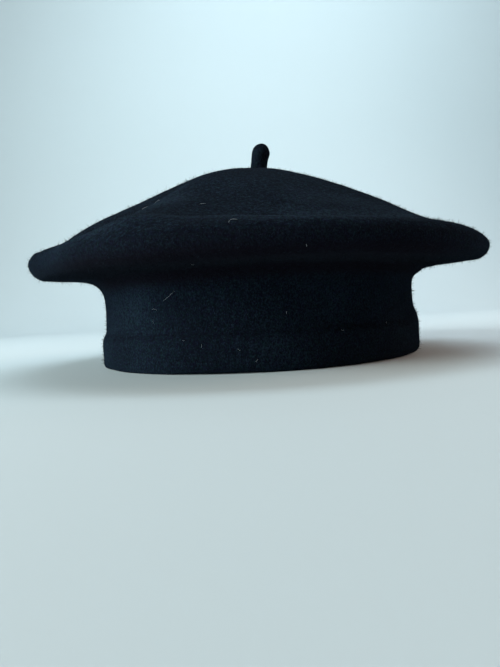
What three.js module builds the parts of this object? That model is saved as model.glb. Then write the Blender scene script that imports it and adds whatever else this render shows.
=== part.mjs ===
/**
 * A black felt beret: one felted body with a domed crown, a soft rolled rim and a head band whose
 * lower edge is turned up inside, and a short felt stalk that stands on the crown.
 * Millimetres. X runs to the right of the front view, Y to the back and Z up. The folded edge of
 * the band rests on the plane Z = 0. Bearings run anticlockwise from +X seen from above, so the
 * back is at 90, the left at 180 and the front at 270 degrees.
 */
import * as THREE from 'three';

// Felt
const FELT = 2.6;              // one thickness of the felted wool

// Head band
const HEAD_WIDTH = 183;        // opening from side to side
const HEAD_DEPTH = 186.6;      // opening from front to back
const BAND_HEIGHT = 49;        // resting edge to the underside of the rim
const BAND_FILLET = 10;        // turn from the band into the underside
const BAND_SHIFT = 1;          // how far the band stands to the left of the disc
const HEM_HEIGHT = 21.5;       // felt turned up inside, which doubles the band
const HEM_STEP = 7;            // height over which the doubled felt thins out again
const HEM_ROUND = 1.6;         // rounding of the folded edge

// Disc and crown
const DISC_WIDTH = 268.2;      // widest part of the rim from side to side
const DISC_DEPTH = 268.2;      // widest part of the rim from front to back
const RIM_DEPTH = 18;          // thickness of the rolled rim
const SIDE_DROP = 2.2;         // how much lower the rim stands on the right than on the left
const CROWN_RISE = 49;         // top of the rim to the top of the crown
const CROWN_SHIFT = 3.5;       // how far the top of the crown stands to the left

// Stalk
const STALK_WIDTH = 10.2;
const STALK_HEIGHT = 17;
const STALK_OFFSET = 4.3;      // base of the stalk to the right of the disc's centre
const STALK_LEAN = 2.6;        // how far its tip leans to the right
const STALK_GAP = 0.3;         // clearance between the stalk and the crown

// How finely the surfaces are divided
const SEGMENTS = 72;
const STALK_SIDES = 14;

// Circles on the crown, as shares of the disc's radius, where the sections give its height.
const CIRCLES = { top: 0.17, shoulder: 0.34, flank: 0.5, slope: 0.64, hollow: 0.78, lip: 0.91 };

// Sections through the crown by bearing: the height above the rim's top at each circle, as a
// share of CROWN_RISE. The front sinks into a hollow behind the rim and the left rear is full.
const SECTIONS = [
  { bearing: 0, top: 0.93, shoulder: 0.78, flank: 0.585, slope: 0.39, hollow: 0.19, lip: 0.045 },
  { bearing: 45, top: 0.93, shoulder: 0.78, flank: 0.6, slope: 0.4, hollow: 0.2, lip: 0.02 },
  { bearing: 90, top: 0.93, shoulder: 0.78, flank: 0.6, slope: 0.41, hollow: 0.21, lip: 0.02 },
  { bearing: 135, top: 0.93, shoulder: 0.78, flank: 0.6, slope: 0.43, hollow: 0.24, lip: 0.03 },
  { bearing: 175, top: 0.93, shoulder: 0.79, flank: 0.6, slope: 0.415, hollow: 0.235, lip: 0 },
  { bearing: 200, top: 0.93, shoulder: 0.775, flank: 0.58, slope: 0.4, hollow: 0.2, lip: -0.055 },
  { bearing: 222, top: 0.93, shoulder: 0.745, flank: 0.505, slope: 0.29, hollow: 0.085, lip: -0.045 },
  { bearing: 240, top: 0.93, shoulder: 0.74, flank: 0.5, slope: 0.305, hollow: 0.145, lip: 0.02 },
  { bearing: 262, top: 0.92, shoulder: 0.73, flank: 0.475, slope: 0.24, hollow: 0.045, lip: 0 },
  { bearing: 285, top: 0.92, shoulder: 0.72, flank: 0.47, slope: 0.21, hollow: -0.02, lip: -0.03 },
  { bearing: 315, top: 0.93, shoulder: 0.75, flank: 0.52, slope: 0.29, hollow: 0.05, lip: -0.01 },
  { bearing: 340, top: 0.93, shoulder: 0.78, flank: 0.585, slope: 0.39, hollow: 0.18, lip: 0.03 },
];

// Ridges and dents in the crown. Each runs between two places, given by bearing and by a share
// of the disc's radius. Its height is a share of RIM_DEPTH and its width one of the radius.
const FOLDS = [
  { name: 'left crest', bearing: 245, out: 0.9, toBearing: 235, toOut: 0.4, height: 0.1, width: 0.12 },
  { name: 'left dent', bearing: 218, out: 0.84, toBearing: 218, toOut: 0.5, height: -0.08, width: 0.11 },
];

// The band's and the rim's shape by bearing: lift raises the underside of the rim, as a share of
// RIM_DEPTH, and fillet is a share of BAND_FILLET. The rim stands higher and thinner at the back.
const EDGES = [
  { bearing: 0, lift: 0.32, fillet: 0.8 },
  { bearing: 45, lift: 0.33, fillet: 0.9 },
  { bearing: 90, lift: 0.33, fillet: 1 },
  { bearing: 135, lift: 0.33, fillet: 1.15 },
  { bearing: 175, lift: 0.34, fillet: 0.95 },
  { bearing: 200, lift: 0.03, fillet: 1.05 },
  { bearing: 222, lift: 0.02, fillet: 1 },
  { bearing: 262, lift: 0, fillet: 1 },
  { bearing: 315, lift: 0, fillet: 0.8 },
  { bearing: 340, lift: 0.01, fillet: 0.95 },
];

// The rolled rim from its lip round the nose to the underside: out is a share of the overhang
// between band and nose, up one of RIM_DEPTH, and lifted how much of the lift a place takes.
const RIM = [
  { out: 0.89, up: 0.8, lifted: 0.3 },
  { out: 0.965, up: 0.67, lifted: 0.45 },
  { out: 1, up: 0.52, lifted: 0.6 },
  { out: 0.99, up: 0.34, lifted: 0.8 },
  { out: 0.945, up: 0.17, lifted: 0.95 },
  { out: 0.87, up: 0.06, lifted: 1 },
  { out: 0.77, up: 0.02, lifted: 0.95 },
  { out: 0.5, up: 0, lifted: 0.6 },
];

// The stalk from its foot to its tip: up is a share of STALK_HEIGHT, girth one of STALK_WIDTH.
const STALK = [
  { up: 0, girth: 1.08 },
  { up: 0.12, girth: 1 },
  { up: 0.32, girth: 0.98 },
  { up: 0.55, girth: 1.03 },
  { up: 0.74, girth: 0.97 },
  { up: 0.88, girth: 0.8 },
  { up: 0.96, girth: 0.55 },
  { up: 0.995, girth: 0.27 },
];

const { clamp, degToRad, euclideanModulo, radToDeg, smoothstep } = THREE.MathUtils;

/** Radius at a bearing of the ellipse with these two widths. */
function ovalRadius(width, depth, angle) {
  return 1 / Math.hypot(Math.cos(angle) / (width / 2), Math.sin(angle) / (depth / 2));
}

/** Reader of a table by bearing: smooth values of its named columns at any angle. */
function bearingReader(table, columns) {
  const rows = [...table, { ...table[0], bearing: table[0].bearing + 360 }];
  const bearings = rows.map((row) => row.bearing);
  const values = rows.flatMap((row) => columns.map((column) => row[column]));
  const curve = new THREE.CubicInterpolant(bearings, values, columns.length);
  curve.settings = { endingStart: THREE.WrapAroundEnding, endingEnd: THREE.WrapAroundEnding };
  return (angle) => Array.from(curve.evaluate(euclideanModulo(radToDeg(angle), 360)));
}

const circleNames = Object.keys(CIRCLES);
const circleShares = [0, ...Object.values(CIRCLES)];
const circleHeights = bearingReader(SECTIONS, circleNames);
const edgeShape = bearingReader(EDGES, ['lift', 'fillet']);

/** Radius of the band's outer face above the hem. */
function bandRadius(angle) {
  return ovalRadius(HEAD_WIDTH, HEAD_DEPTH, angle) + FELT;
}

/** Place on the disc's plan, in shares of its radius. */
function planPlace(angle, out) {
  return new THREE.Vector2(Math.cos(angle), Math.sin(angle)).multiplyScalar(out);
}

/** Rise of all folds at a place on the plan. */
function foldRise(place) {
  let rise = 0;
  for (const fold of FOLDS) {
    const start = planPlace(degToRad(fold.bearing), fold.out);
    const run = planPlace(degToRad(fold.toBearing), fold.toOut).sub(start);
    const along = clamp(place.clone().sub(start).dot(run) / run.lengthSq(), 0, 1);
    const gap = place.distanceTo(run.multiplyScalar(along).add(start));
    rise += fold.height * Math.exp(-((gap / fold.width) ** 2));
  }
  return rise * RIM_DEPTH;
}

/** Height of the crown at a share of the disc's radius, before the side drop. */
function crownHeight(share, angle) {
  const curve = new THREE.CubicInterpolant(circleShares, [1, ...circleHeights(angle)], 1);
  curve.settings = { endingStart: THREE.ZeroSlopeEnding, endingEnd: THREE.ZeroCurvatureEnding };
  const [height] = curve.evaluate(share);
  return BAND_HEIGHT + RIM_DEPTH + CROWN_RISE * height + foldRise(planPlace(angle, share));
}

/** Point at a radius, bearing and height, shifted to the left and with the disc's side drop. */
function placed(radius, angle, height, shift = 0) {
  const x = radius * Math.cos(angle) - shift;
  const drop = SIDE_DROP * (x / DISC_WIDTH) * (height / BAND_HEIGHT);
  return new THREE.Vector3(x, radius * Math.sin(angle), height - drop);
}

/** Point on the crown at a share of the disc's radius. */
function crownPoint(share, angle) {
  const radius = share * ovalRadius(DISC_WIDTH, DISC_DEPTH, angle);
  return placed(radius, angle, crownHeight(share, angle), CROWN_SHIFT * (1 - share ** 2));
}

/** Shares of the disc's radius where the crown has its rings: each circle and halfway to it. */
function crownRings() {
  const beforeAndAt = (share, index) => [(circleShares[index] + share) / 2, share];
  return circleShares.slice(1).flatMap(beforeAndAt);
}

/** Heights of the rings down the straight part of the band, below its fillet. */
function bandHeights(filletFoot) {
  const stepFoot = HEM_HEIGHT - HEM_STEP;
  const waist = (filletFoot + HEM_HEIGHT) / 2;
  return [waist, HEM_HEIGHT, (HEM_HEIGHT + stepFoot) / 2, stepFoot, (stepFoot + HEM_ROUND) / 2, HEM_ROUND];
}

/** Outside of the single felt down one bearing, from beside the top to the folded edge. */
function meridian(angle) {
  const band = bandRadius(angle);
  const overhang = ovalRadius(DISC_WIDTH, DISC_DEPTH, angle) - band;
  const [lift, filletShare] = edgeShape(angle);
  const fillet = Math.min(BAND_FILLET * filletShare, overhang * 0.45, (BAND_HEIGHT - HEM_HEIGHT) * 0.8);
  const points = crownRings().map((share) => crownPoint(share, angle));
  for (const row of RIM) {
    const height = BAND_HEIGHT + RIM_DEPTH * (row.up + lift * row.lifted);
    points.push(placed(band + row.out * overhang, angle, height));
  }
  for (const turn of [1, 0.66, 0.33, 0]) {
    const lean = turn * Math.PI / 2;
    const radius = band + fillet * (1 - Math.cos(lean));
    points.push(placed(radius, angle, BAND_HEIGHT - fillet * (1 - Math.sin(lean)), BAND_SHIFT));
  }
  const filletFoot = BAND_HEIGHT - fillet;
  for (const height of bandHeights(filletFoot)) {
    points.push(placed(band, angle, height, BAND_SHIFT));
  }
  return points;
}

/** Felt that the turned-up hem adds outside the single layer at a height. */
function hemLayer(height) {
  return FELT * (1 - smoothstep(height, HEM_HEIGHT - HEM_STEP, HEM_HEIGHT));
}

/** Outward normal of the single felt at one place of the grid of meridians. */
function gridNormal(grid, top, ring, segment) {
  const line = grid[segment];
  const before = grid[(segment + SEGMENTS - 1) % SEGMENTS][ring];
  const after = grid[(segment + 1) % SEGMENTS][ring];
  const above = ring > 0 ? line[ring - 1] : top;
  const below = line[Math.min(ring + 1, line.length - 1)];
  const down = below.clone().sub(above);
  return down.cross(after.clone().sub(before)).normalize();
}

/** Closed geometry through rings of equal size between two poles, from the top down outside. */
function closedRings(firstPole, rings, lastPole) {
  const sides = rings[0].length;
  const points = [firstPole, ...rings.flat(), lastPole];
  const at = (ring, side) => 1 + ring * sides + (side % sides);
  const faces = [];
  for (let side = 0; side < sides; side += 1) {
    faces.push(0, at(0, side), at(0, side + 1));
    for (let ring = 0; ring < rings.length - 1; ring += 1) {
      faces.push(at(ring, side), at(ring + 1, side), at(ring + 1, side + 1));
      faces.push(at(ring, side), at(ring + 1, side + 1), at(ring, side + 1));
    }
    faces.push(at(rings.length - 1, side), points.length - 1, at(rings.length - 1, side + 1));
  }
  const geometry = new THREE.BufferGeometry().setFromPoints(points);
  geometry.setIndex(faces);
  geometry.computeVertexNormals();
  return geometry;
}

/** Rings round the folded edge of the hem, from its outer face over the flat to its inner face. */
function foldedEdge(angles) {
  const round = Math.min(HEM_ROUND, 0.7 * FELT);
  const soft = round * (1 - Math.SQRT1_2);
  const stations = [
    { inward: soft, height: soft },
    { inward: round, height: 0 },
    { inward: 2 * FELT - round, height: 0 },
    { inward: 2 * FELT - soft, height: soft },
  ];
  return stations.map(({ inward, height }) => (
    angles.map((angle) => placed(bandRadius(angle) + FELT - inward, angle, height, BAND_SHIFT))
  ));
}

/** The felt body: an outer skin and an inner skin that meet in the rounded folded edge. */
function feltBody() {
  const angles = Array.from({ length: SEGMENTS }, (_, index) => (2 * Math.PI * index) / SEGMENTS);
  const grid = angles.map(meridian);
  const top = crownPoint(0, 0);
  const outer = [];
  const inner = [];
  for (let ring = 0; ring < grid[0].length; ring += 1) {
    const normals = angles.map((_, segment) => gridNormal(grid, top, ring, segment));
    const skin = (depth) => normals.map((normal, segment) => {
      const point = grid[segment][ring];
      return point.clone().addScaledVector(normal, depth(point));
    });
    outer.push(skin((point) => hemLayer(point.z)));
    inner.unshift(skin(() => -FELT));
  }
  const innerTop = top.clone().setZ(top.z - FELT);
  return closedRings(top, [...outer, ...foldedEdge(angles), ...inner], innerTop);
}

/** The crown's height at a place in millimetres, found along its shifted rings. */
function crownUnder(x, y) {
  let share = 0;
  let angle = 0;
  for (let step = 0; step < 4; step += 1) {
    const across = x + CROWN_SHIFT * (1 - share ** 2);
    angle = Math.atan2(y, across);
    share = Math.hypot(across, y) / ovalRadius(DISC_WIDTH, DISC_DEPTH, angle);
  }
  return crownPoint(share, angle).z;
}

/** The stalk: a leaning felt stub whose foot follows the crown. */
function feltStalk() {
  const foot = new THREE.Vector3(STALK_OFFSET, 0, crownUnder(STALK_OFFSET, 0) + STALK_GAP);
  const tip = new THREE.Vector3(STALK_LEAN, 0, STALK_HEIGHT).add(foot);
  const rings = STALK.map(({ up, girth }) => {
    const centre = foot.clone().lerp(tip, up);
    return Array.from({ length: STALK_SIDES }, (_, side) => {
      const spoke = planPlace((2 * Math.PI * side) / STALK_SIDES, (girth * STALK_WIDTH) / 2);
      const point = centre.clone().add(new THREE.Vector3(spoke.x, spoke.y, 0));
      return up > 0 ? point : point.setZ(crownUnder(point.x, point.y) + STALK_GAP);
    });
  });
  return closedRings(tip, rings.reverse(), foot);
}

/** A named sub-part in felted wool. */
function feltPart(name, geometry, color) {
  const material = new THREE.MeshStandardMaterial({ color, roughness: 0.95, metalness: 0 });
  const part = new THREE.Mesh(geometry, material);
  part.name = name;
  return part;
}

const group = new THREE.Group();
group.add(feltPart('felt_body', feltBody(), 0x14171c));
group.add(feltPart('stalk', feltStalk(), 0x101216));

export default group;
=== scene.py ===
"""A worn black felt beret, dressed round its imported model.

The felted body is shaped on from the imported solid, the stalk is modelled anew, and both get a nap
of wool fibres and a few lint hairs. Lengths are metres where a class doesn't say millimetres. X
runs to the right of the front view, Y to the back and Z up.
"""
import logging
import math
from collections.abc import Callable
from dataclasses import dataclass, field
from enum import Enum

import bpy
import numpy as np
from mathutils import Matrix, Vector, noise
from mathutils.bvhtree import BVHTree


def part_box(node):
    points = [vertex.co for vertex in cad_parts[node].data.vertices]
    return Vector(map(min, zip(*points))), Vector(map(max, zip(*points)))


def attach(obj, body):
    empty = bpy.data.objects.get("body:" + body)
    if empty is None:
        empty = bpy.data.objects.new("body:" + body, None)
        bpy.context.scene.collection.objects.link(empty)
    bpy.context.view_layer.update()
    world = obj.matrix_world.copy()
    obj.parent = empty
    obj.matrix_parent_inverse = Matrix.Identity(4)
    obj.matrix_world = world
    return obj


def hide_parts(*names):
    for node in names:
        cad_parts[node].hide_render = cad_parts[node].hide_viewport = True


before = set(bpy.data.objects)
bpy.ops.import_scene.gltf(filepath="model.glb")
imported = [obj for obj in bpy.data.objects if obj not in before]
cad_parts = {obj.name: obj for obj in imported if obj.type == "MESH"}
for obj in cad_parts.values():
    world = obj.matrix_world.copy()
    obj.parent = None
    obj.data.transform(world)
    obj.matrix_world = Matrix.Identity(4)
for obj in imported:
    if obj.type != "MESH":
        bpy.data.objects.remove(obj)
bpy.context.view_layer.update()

logging.basicConfig(level=logging.INFO, format="%(message)s")
log = logging.getLogger("beret")

MM = 0.001
ABOVE = 200 * MM                        # higher than the hat
BODY = "root"                           # the rigid body that every piece rides on
FRAME_WIDTH, FRAME_HEIGHT = 500, 667    # the picture's pixels
BAKE_MAP = "OFBake"                     # the map that a finish is baked on

Colour = tuple[float, float, float, float]
Point = tuple[float, float, float]


class Mark(Enum):
    """What a mesh tells its finish at each vertex, from 0 to 1."""

    STEEP = "steep"            # how steep the felt stands
    WORN = "wear_and_highlight"              # how much paler it is, by wear and painted highlight
    SHELTERED = "painted_shade"    # how much painted shade it gets
    SHADE = "shade"            # how light a fibre is


class Region(Enum):
    """Where on the hat a stand of fibres grows."""

    CROWN = "crown"
    RIM = "rim"
    BAND = "band"
    INSIDE = "inside"
    OUTSIDE = "outside"
    STALK = "stalk"


def linear(hex_colour: str) -> Colour:
    """Linear colour of an sRGB hex value.

    Args:
        hex_colour: six hex digits after a hash sign.

    Returns:
        Red, green, blue and an alpha of 1.
    """
    parts = [int(hex_colour[i:i + 2], 16) / 255 for i in (1, 3, 5)]
    red, green, blue = (p / 12.92 if p <= 0.04045 else ((p + 0.055) / 1.055) ** 2.4 for p in parts)
    return red, green, blue, 1.0


def add_node(tree: bpy.types.NodeTree, kind: str, settings: dict | None = None,
             inputs: dict | None = None) -> bpy.types.Node:
    """Adds one shader node.

    Args:
        tree: the node tree of a material or world.
        kind: the node's type without its ShaderNode prefix.
        settings: values of the node's own properties.
        inputs: for a socket's name or index, its value or the output that is linked to it.

    Returns:
        The new node.
    """
    node = tree.nodes.new("ShaderNode" + kind)
    for name, value in (settings or {}).items():
        setattr(node, name, value)
    for key, value in (inputs or {}).items():
        if isinstance(value, bpy.types.NodeSocket):
            tree.links.new(value, node.inputs[key])
        else:
            node.inputs[key].default_value = value
    return node


def new_material(name: str) -> tuple[bpy.types.Material, bpy.types.NodeTree]:
    """Adds an empty node material.

    Args:
        name: what the real material is.

    Returns:
        The material and its node tree.
    """
    material = bpy.data.materials.new(name)
    material.use_nodes = True
    material.node_tree.nodes.clear()
    return material, material.node_tree


def pick_only(piece: bpy.types.Object) -> None:
    """Deselects everything, then selects one piece and makes it active.

    Args:
        piece: the piece to select.
    """
    bpy.ops.object.select_all(action="DESELECT")
    piece.select_set(True)
    bpy.context.view_layer.objects.active = piece


def apply_modifier(piece: bpy.types.Object, kind: str, **settings: object) -> None:
    """Adds a modifier to a piece and applies it.

    Args:
        piece: the piece to change.
        kind: the modifier's type.
        settings: values of the modifier's properties.
    """
    pick_only(piece)
    modifier = piece.modifiers.new(kind.title(), kind)
    for name, value in settings.items():
        setattr(modifier, name, value)
    bpy.ops.object.modifier_apply(modifier=modifier.name)


def vertex_places(mesh: bpy.types.Mesh) -> np.ndarray:
    """Reads where a mesh's vertices are.

    Args:
        mesh: the mesh to read.

    Returns:
        A row for each vertex.
    """
    places = np.empty(len(mesh.vertices) * 3)
    mesh.vertices.foreach_get("co", places)
    return places.reshape(-1, 3)


def vertex_normals(mesh: bpy.types.Mesh) -> np.ndarray:
    """Reads which way a mesh's vertices face.

    Args:
        mesh: the mesh to read.

    Returns:
        A row for each vertex.
    """
    normals = np.empty(len(mesh.vertices) * 3)
    mesh.vertex_normals.foreach_get("vector", normals)
    return normals.reshape(-1, 3)


def move_vertices(mesh: bpy.types.Mesh, places: np.ndarray) -> None:
    """Puts a mesh's vertices at new places."""
    mesh.vertices.foreach_set("co", places.ravel())
    mesh.update()


def settle_order(mesh: bpy.types.Mesh) -> None:
    """Sorts a mesh's vertices and faces by place, because extruding leaves their order to chance.

    Args:
        mesh: the mesh to sort.
    """
    places = vertex_places(mesh)
    order = np.lexsort(np.round(places / (0.001 * MM)).T)
    rank = np.argsort(order).tolist()
    faces = []
    for face in mesh.polygons:
        corners = [rank[index] for index in face.vertices]
        first = corners.index(min(corners))
        faces.append(corners[first:] + corners[:first])
    mesh.clear_geometry()
    mesh.from_pydata(places[order].tolist(), [], sorted(faces))


def store(mesh: bpy.types.Mesh, mark: Mark, values: np.ndarray) -> None:
    """Stores a mark's value at each vertex of a mesh."""
    mesh.attributes.new(mark.value, "FLOAT", "POINT").data.foreach_set("value", values)


def mark_steep(mesh: bpy.types.Mesh) -> None:
    """Marks how steep a mesh stands: 0 up to a slope of 47 degrees, and 1 from one of 77."""
    store(mesh, Mark.STEEP, np.clip(1.5 - 2.2 * vertex_normals(mesh)[:, 2], 0, 1))


def bell(distance: np.ndarray, width: float) -> np.ndarray:
    """A smooth bump: 1 at no distance, near 0 past twice the width."""
    return np.exp(-((distance / width) ** 2))


def unit(vectors: np.ndarray) -> np.ndarray:
    """The vectors at length 1."""
    return vectors / np.maximum(np.linalg.norm(vectors, axis=-1, keepdims=True), 1e-12)


@dataclass(frozen=True)
class MilledFelt:
    """Milled wool felt, dyed near black: matt, with a soft sheen where fibres stand against light.

    Its colour is mottled by clumps of fibres. On steep faces the clumps are brushed into short
    upright streaks, as handling and brushing leave them. The real fibres are 0.02 mm thick, so
    the clumps are drawn at about a millimetre, which is what shows.
    """

    name: str
    hollow: str                        # dye between the clumps
    ground: str                        # the felt at large
    rubbed: str                        # raised clumps
    speck: str                         # thin pale specks
    deep: str = "#110e14"              # painted shade: the dark tone laid under the rim and inside
    sheen_tint: str = "#9fbcd2"
    sheen: float = 0.024
    clump: float = 0.65 * MM
    blotch: float = 7 * MM
    cloud: float = 45 * MM
    speck_spacing: float = 2.2 * MM
    streak: float = 0.7                # less than 1 stretches the pattern upright
    grit: float = 0.62                 # how strongly the finer grains of each pattern show
    tones: tuple[float, float, float] = (0.38, 0.5, 0.64)    # of hollow, ground and rubbed
    flat_contrast: float = 1.9         # of the clumps on flat faces
    flat_level: float = 0.425          # and their middle tone, set lower as painted shade on the faces that face up
    wear_and_highlight_lift: float = 0.14            # tone that wear and painted highlight add
    wear_and_highlight_fade: float = 0.25            # share of the speck's colour that wear and painted highlight add
    tint_middle: float = 0.503         # the hue as it is, but for a trace
    tint_swing: float = 0.1            # how far the clumps' hue turns each way
    clump_relief: float = 0.35 * MM
    blotch_relief: float = 1.2 * MM

    def material(self) -> bpy.types.Material:
        """Builds the felt's node material.

        Returns:
            The material.
        """
        material, tree = new_material(self.name)
        place = add_node(tree, "TexCoord").outputs["Object"]
        brushed = add_node(tree, "Mapping", inputs={
            "Vector": place, "Scale": (1, 1, self.streak)}).outputs[0]
        steep, wear_and_highlight, painted_shade = (
            add_node(tree, "Attribute", {"attribute_name": mark.value}).outputs["Fac"]
            for mark in (Mark.STEEP, Mark.WORN, Mark.SHELTERED))

        layer = {"steep": steep}
        for name, where, size, detail in (
                ("wide grain", place, 2.6 * self.clump, 3),
                ("fine grain", place, self.clump, 4),
                ("streaks", brushed, self.clump, 4),
                ("round blotches", place, self.blotch, 2),
                ("long blotches", brushed, self.blotch / 2, 2),
                ("clouds", place, self.cloud, 1),
                ("tints", place, 2.2 * self.clump, 2)):
            layer[name] = add_node(tree, "TexNoise", inputs={
                "Vector": where, "Scale": 1 / size, "Detail": detail,
                "Roughness": self.grit}).outputs["Fac"]
        grain = add_node(tree, "Mix", {"data_type": "FLOAT"}, {
            "Factor": 0.5, "A": layer["wide grain"], "B": layer["fine grain"]})
        layer["strong grain"] = add_node(tree, "MapRange", {"clamp": False}, {
            "Value": grain.outputs[0], "From Min": 0, "From Max": 1,
            "To Min": self.flat_level - self.flat_contrast / 2,
            "To Max": self.flat_level + self.flat_contrast / 2}).outputs[0]
        for name, factor, first, second in (
                ("clumps", "steep", "strong grain", "streaks"),
                ("blotches", "steep", "round blotches", "long blotches"),
                ("patches", 0.42, "clumps", "blotches"),
                ("drift", "patches", "clumps", "clouds"),
                ("tone", 0.4, "clumps", "drift")):
            layer[name] = add_node(tree, "Mix", {"data_type": "FLOAT"}, {
                "Factor": layer.get(factor, factor), "A": layer[first],
                "B": layer[second]}).outputs[0]

        # Wear and painted highlight lift the tone.
        lifted = add_node(tree, "Math", {"operation": "MULTIPLY_ADD"}, {
            0: wear_and_highlight, 1: self.wear_and_highlight_lift, 2: layer["tone"]})
        ramp = add_node(tree, "ValToRGB", inputs={"Fac": lifted.outputs[0]})
        low, middle, high = self.tones
        stops = ramp.color_ramp.elements
        stops[0].position, stops[0].color = low, linear(self.hollow)
        stops[1].position, stops[1].color = high, linear(self.rubbed)
        stops.new(middle).color = linear(self.ground)
        flecks = add_node(tree, "TexVoronoi", inputs={
            "Vector": place, "Scale": 1 / self.speck_spacing})
        specks = add_node(tree, "MapRange", inputs={
            "Value": flecks.outputs["Distance"], "From Min": 0.08, "From Max": 0.16,
            "To Min": 0.4, "To Max": 0.0})
        paler = add_node(tree, "Math", {"operation": "MULTIPLY_ADD"}, {
            0: wear_and_highlight, 1: self.wear_and_highlight_fade, 2: specks.outputs[0]})
        colour = add_node(tree, "Mix", {"data_type": "RGBA"}, {
            "Factor": paler.outputs[0], 6: ramp.outputs[0], 7: linear(self.speck)})
        hue = add_node(tree, "MapRange", {"clamp": False}, {
            "Value": layer["tints"], "From Min": 0, "From Max": 1,
            "To Min": self.tint_middle - self.tint_swing,
            "To Max": self.tint_middle + self.tint_swing})
        tinted = add_node(tree, "HueSaturation", inputs={
            "Hue": hue.outputs[0], "Color": colour.outputs[2]})
        # Painted shade: the colour turns towards the deep tone where the mesh is marked for it.
        painted_shade_mix = add_node(tree, "Mix", {"data_type": "RGBA"}, {
            "Factor": painted_shade, 6: tinted.outputs[0], 7: linear(self.deep)})

        fine = add_node(tree, "Bump", inputs={
            "Strength": 0.8, "Distance": self.clump_relief, "Height": layer["clumps"]})
        coarse = add_node(tree, "Bump", inputs={
            "Strength": 0.6, "Distance": self.blotch_relief, "Height": layer["blotches"],
            "Normal": fine.outputs[0]})
        shader = add_node(tree, "BsdfPrincipled", inputs={
            "Base Color": painted_shade_mix.outputs[2], "Roughness": 0.95, "Specular IOR Level": 0.0,
            "Sheen Weight": self.sheen, "Sheen Roughness": 0.42,
            "Sheen Tint": linear(self.sheen_tint), "Normal": coarse.outputs[0]})
        add_node(tree, "OutputMaterial", inputs={"Surface": shader.outputs[0]})
        return material


@dataclass(frozen=True)
class WoolFibre:
    """Single wool fibres of the nap: fine matt hairs, each a little lighter or darker."""

    name: str
    dark: str
    light: str
    sheen: float = 0.01
    sheen_tint: str = "#a9bccb"

    def material(self) -> bpy.types.Material:
        """Builds the fibres' node material.

        Returns:
            The material.
        """
        material, tree = new_material(self.name)
        shade = add_node(tree, "Attribute", {"attribute_name": Mark.SHADE.value})
        ramp = add_node(tree, "ValToRGB", inputs={"Fac": shade.outputs["Fac"]})
        stops = ramp.color_ramp.elements
        stops[0].position, stops[0].color = 0.1, linear(self.dark)
        stops[1].position, stops[1].color = 1.0, linear(self.light)
        shader = add_node(tree, "BsdfPrincipled", inputs={
            "Base Color": ramp.outputs[0], "Roughness": 0.85, "Specular IOR Level": 0.04,
            "Sheen Weight": self.sheen, "Sheen Tint": linear(self.sheen_tint)})
        add_node(tree, "OutputMaterial", inputs={"Surface": shader.outputs[0]})
        return material


@dataclass(frozen=True)
class MattCard:
    """Matt coated card of a studio sweep: plain and pale, with the faintest tooth.

    To the camera it fades to the room's tone far to the sides and in front, so that the sweep
    shows no edge.
    """

    name: str
    colour: str
    room: str
    tooth: float = 3 * MM
    tooth_relief: float = 0.2 * MM
    fade_from: float = 0.95         # distance to a side where the fade starts
    fade_to: float = 1.9            # and where it ends
    front_pull: float = 1.9         # how many times nearer it is in front

    def material(self) -> bpy.types.Material:
        """Builds the card's node material.

        Returns:
            The material.
        """
        material, tree = new_material(self.name)
        place = add_node(tree, "TexCoord").outputs["Object"]
        grain = add_node(tree, "TexNoise", inputs={
            "Vector": place, "Scale": 1 / self.tooth, "Detail": 3})
        bump = add_node(tree, "Bump", inputs={
            "Strength": 0.1, "Distance": self.tooth_relief, "Height": grain.outputs["Fac"]})
        card = add_node(tree, "BsdfPrincipled", inputs={
            "Base Color": linear(self.colour), "Roughness": 0.9, "Specular IOR Level": 0.2,
            "Normal": bump.outputs[0]})
        parts = add_node(tree, "SeparateXYZ", inputs={0: place}).outputs
        ahead = add_node(tree, "Math", {"operation": "MINIMUM"}, {0: parts[1], 1: 0})
        pulled = add_node(tree, "Math", {"operation": "MULTIPLY"}, {
            0: ahead.outputs[0], 1: self.front_pull})
        oval = add_node(tree, "CombineXYZ", inputs={0: parts[0], 1: pulled.outputs[0]})
        far = add_node(tree, "VectorMath", {"operation": "LENGTH"}, {0: oval.outputs[0]})
        fade = add_node(tree, "MapRange", {"interpolation_type": "SMOOTHSTEP"}, {
            "Value": far.outputs["Value"], "From Min": self.fade_from, "From Max": self.fade_to})
        seen = add_node(tree, "LightPath").outputs["Is Camera Ray"]
        share = add_node(tree, "Math", {"operation": "MULTIPLY"}, {0: fade.outputs[0], 1: seen})
        room = add_node(tree, "Emission", inputs={"Color": linear(self.room), "Strength": 1})
        both = add_node(tree, "MixShader", inputs={
            0: share.outputs[0], 1: card.outputs[0], 2: room.outputs[0]})
        add_node(tree, "OutputMaterial", inputs={"Surface": both.outputs[0]})
        return material


BODY_FELT = MilledFelt("milled_felt_body", hollow="#0b0e15", ground="#101821", rubbed="#1b2833",
                       speck="#2b3844")
STALK_FELT = MilledFelt("rolled_felt_stalk", hollow="#090e15", ground="#10171f", rubbed="#1a242e",
                        speck="#2b3743", clump=0.7 * MM, blotch=4 * MM)
NAP_WOOL = WoolFibre("wool_fibre_nap", dark="#0c1219", light="#1f2a34")
LINT_WOOL = WoolFibre("pale_lint", dark="#76828a", light="#bac3c9")
ROOM_TONE = "#bbd7e1"
SWEEP_CARD = MattCard("matt_card_sweep", colour="#bcc9ce", room=ROOM_TONE)


@dataclass(frozen=True)
class Swell:
    """A layer of soft unevenness: the distance between its swells and how far they stand out."""

    size: float
    rise: float
    seed: float

    def at(self, places: np.ndarray) -> np.ndarray:
        """How far the layer stands out at each place.

        Args:
            places: a row for each place.

        Returns:
            A distance for each place, inward where it is below 0.
        """
        shift = Vector((self.seed, -self.seed, 2 * self.seed))
        return self.rise * np.array(
            [noise.noise(Vector(place) / self.size + shift) for place in places])


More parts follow.
